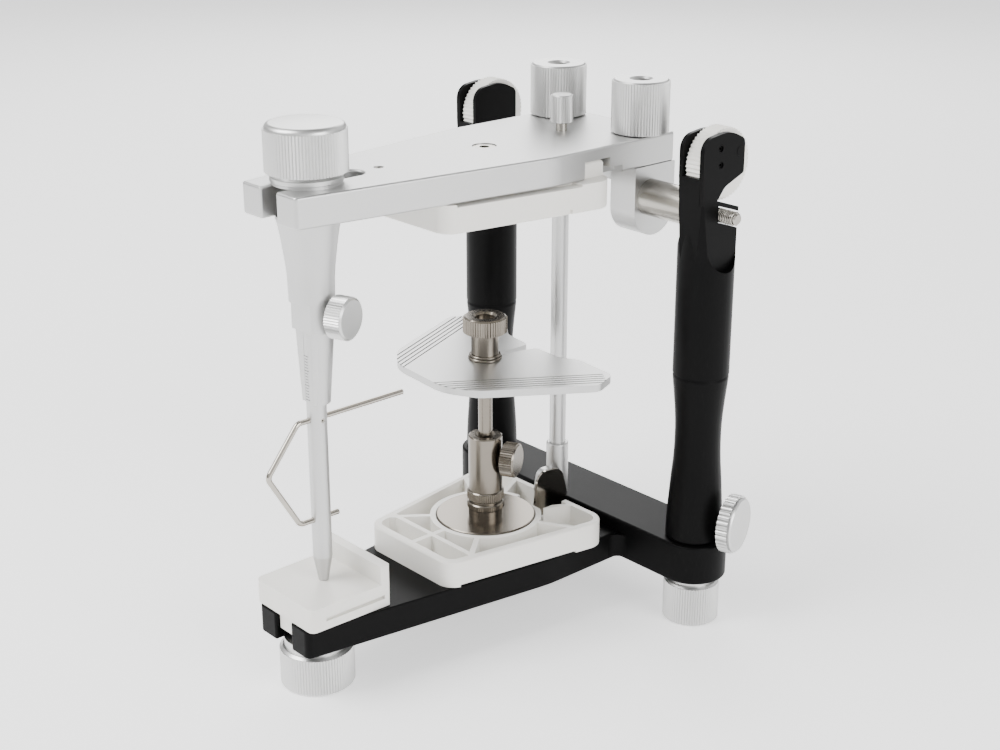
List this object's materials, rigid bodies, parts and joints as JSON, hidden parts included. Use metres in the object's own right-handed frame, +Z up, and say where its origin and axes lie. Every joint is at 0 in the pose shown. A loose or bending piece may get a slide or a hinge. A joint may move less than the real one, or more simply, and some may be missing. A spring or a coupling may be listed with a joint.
{
  "type": "dental articulator",
  "caption": "Dental articulator with hinged upper frame, incisal pin and table, mounting plates and an occlusal plane stand.",
  "frame": {"origin": "on the floor, in the middle of the footprint's box", "axes": "+Z up, +X to the articulator's right, -Y towards the incisal pin"},
  "size_m": [0.1434, 0.1611, 0.1934],
  "materials": {
    "black_anodised": "matte black anodised aluminium, fine blasted grain",
    "silver_anodised": "bead-blasted satin anodised",
    "turned_aluminium": "knurled and turned, bright",
    "white_moulded": "white moulded plastic, slightly waxy",
    "stainless": "fine turned stainless steel",
    "polished_steel": "polished stainless steel"
  },
  "bodies": {
    "base": {"lower_frame": "black_anodised", "post_base_left": "black_anodised", "post_base_right": "black_anodised", "post_head_left": "black_anodised", "post_head_right": "black_anodised", "guide_cheek_left": "black_anodised", "guide_cheek_right": "black_anodised", "cheek_screws": "black_anodised", "post_studs": "stainless", "dial_axles": "stainless", "side_knob_stud": "stainless", "lower_mounting_plate": "white_moulded", "lower_plate_disc": "stainless", "lower_plate_screw": "stainless", "stand_disc": "polished_steel", "stand_column": "silver_anodised", "stand_knob_stud": "stainless"},
    "foot_right": {"rear_foot_right": "turned_aluminium"},
    "foot_left": {"rear_foot_left": "turned_aluminium"},
    "side_knob": {"side_knob": "turned_aluminium"},
    "dial_right": {"guide_dial_right": "white_moulded"},
    "dial_left": {"guide_dial_left": "white_moulded"},
    "table": {"incisal_table": "white_moulded", "table_stud": "stainless"},
    "foot_front": {"front_foot": "turned_aluminium"},
    "rings": {"stand_rings": "turned_aluminium"},
    "stand_knob": {"stand_knob": "turned_aluminium"},
    "stand_rod": {"stand_rod": "polished_steel", "platform_washers": "stainless"},
    "platform": {"occlusal_platform": "silver_anodised"},
    "cap_nut": {"cap_nut": "turned_aluminium"},
    "upper": {"upper_frame": "silver_anodised", "hinge_block": "silver_anodised", "condylar_shafts": "stainless", "shaft_collars": "black_anodised", "shaft_threads": "stainless", "rear_knob_studs": "stainless", "upper_mounting_plate": "white_moulded", "upper_plate_disc": "stainless", "upper_plate_screws": "stainless", "front_washer": "silver_anodised", "holder_stud": "stainless", "thumb_stud": "stainless", "pin_holder": "silver_anodised", "holder_knob_stud": "stainless", "rod_clevis": "black_anodised", "rod_pin": "stainless"},
    "knob_front": {"front_knob": "turned_aluminium"},
    "knob_rear_right": {"rear_knob_right": "turned_aluminium"},
    "knob_rear_left": {"rear_knob_left": "turned_aluminium"},
    "knob_thumb": {"thumb_knob": "turned_aluminium"},
    "knob_holder": {"holder_knob": "turned_aluminium"},
    "pin": {"incisal_pin": "silver_anodised", "pin_set_screw": "stainless"},
    "pointer": {"pointer_wire": "polished_steel"},
    "hanger": {"hanging_rod": "silver_anodised", "rod_shoe": "silver_anodised", "rod_paddle": "polished_steel"}
  },
  "joints": [
    {"name": "upper_open", "type": "hinge", "parent": "base", "child": "upper", "pos_m": [-0.00347, 0.06515, 0.1533], "axis": [-1, 0, 0], "range_deg": [0, 60]},
    {"name": "hanger_swing", "type": "hinge", "parent": "upper", "child": "hanger", "pos_m": [-0.00347, 0.04915, 0.1584], "axis": [-1, 0, 0], "range_deg": [-60, 0]},
    {"name": "foot_right_turn", "type": "hinge", "parent": "base", "child": "foot_right", "pos_m": [0.05153, 0.06515, 0], "axis": [0, 0, 1], "continuous": true},
    {"name": "foot_left_turn", "type": "hinge", "parent": "base", "child": "foot_left", "pos_m": [-0.05847, 0.06515, 0], "axis": [0, 0, 1], "continuous": true},
    {"name": "side_knob_turn", "type": "hinge", "parent": "base", "child": "side_knob", "pos_m": [0.05153, 0.06515, 0.0405], "axis": [0.9511, 0.309, 0], "continuous": true},
    {"name": "dial_right_turn", "type": "hinge", "parent": "base", "child": "dial_right", "pos_m": [0.05153, 0.06715, 0.1704], "axis": [1, 0, 0], "range_deg": [0, 60]},
    {"name": "dial_left_turn", "type": "hinge", "parent": "base", "child": "dial_left", "pos_m": [-0.05847, 0.06715, 0.1704], "axis": [1, 0, 0], "range_deg": [0, 60]},
    {"name": "table_slide", "type": "slide", "parent": "base", "child": "table", "axis": [0, 1, 0], "range_m": [0, 0.008]},
    {"name": "foot_front_turn", "type": "hinge", "parent": "table", "child": "foot_front", "pos_m": [-0.00347, -0.06385, 0], "axis": [0, 0, 1], "continuous": true},
    {"name": "rings_turn", "type": "hinge", "parent": "base", "child": "rings", "pos_m": [-0.00347, 0.01315, 0.041], "axis": [0, 0, 1], "continuous": true},
    {"name": "stand_knob_turn", "type": "hinge", "parent": "base", "child": "stand_knob", "pos_m": [-0.00347, 0.01315, 0.061], "axis": [0.891, 0.454, 0], "continuous": true},
    {"name": "stand_rise", "type": "slide", "parent": "base", "child": "stand_rod", "axis": [0, 0, 1], "range_m": [-0.008, 0.006]},
    {"name": "platform_turn", "type": "hinge", "parent": "stand_rod", "child": "platform", "pos_m": [-0.00347, 0.01315, 0.098], "axis": [0, 0, 1], "range_deg": [-20, 20]},
    {"name": "cap_nut_turn", "type": "hinge", "parent": "stand_rod", "child": "cap_nut", "pos_m": [-0.00347, 0.01315, 0.105], "axis": [0, 0, 1], "continuous": true},
    {"name": "knob_front_turn", "type": "hinge", "parent": "upper", "child": "knob_front", "pos_m": [-0.00347, -0.05985, 0.18], "axis": [0, 0, 1], "continuous": true},
    {"name": "knob_rear_right_turn", "type": "hinge", "parent": "upper", "child": "knob_rear_right", "pos_m": [0.01703, 0.06715, 0.18], "axis": [0, 0, 1], "continuous": true},
    {"name": "knob_rear_left_turn", "type": "hinge", "parent": "upper", "child": "knob_rear_left", "pos_m": [-0.02397, 0.06715, 0.18], "axis": [0, 0, 1], "continuous": true},
    {"name": "knob_thumb_turn", "type": "hinge", "parent": "upper", "child": "knob_thumb", "pos_m": [-0.00347, 0.04915, 0.18], "axis": [0, 0, 1], "continuous": true},
    {"name": "knob_holder_turn", "type": "hinge", "parent": "upper", "child": "knob_holder", "pos_m": [-0.00347, -0.05985, 0.132], "axis": [0.9397, 0.342, 0], "continuous": true},
    {"name": "pin_slide", "type": "slide", "parent": "upper", "child": "pin", "axis": [0, 0, 1], "range_m": [0, 0.004]},
    {"name": "pointer_slide", "type": "slide", "parent": "pin", "child": "pointer", "axis": [0, -1, 0], "range_m": [0, 0.005]}
  ],
  "couplings": [
    {"joint": "hanger_swing", "follows": "upper_open", "ratio": -1}
  ]
}
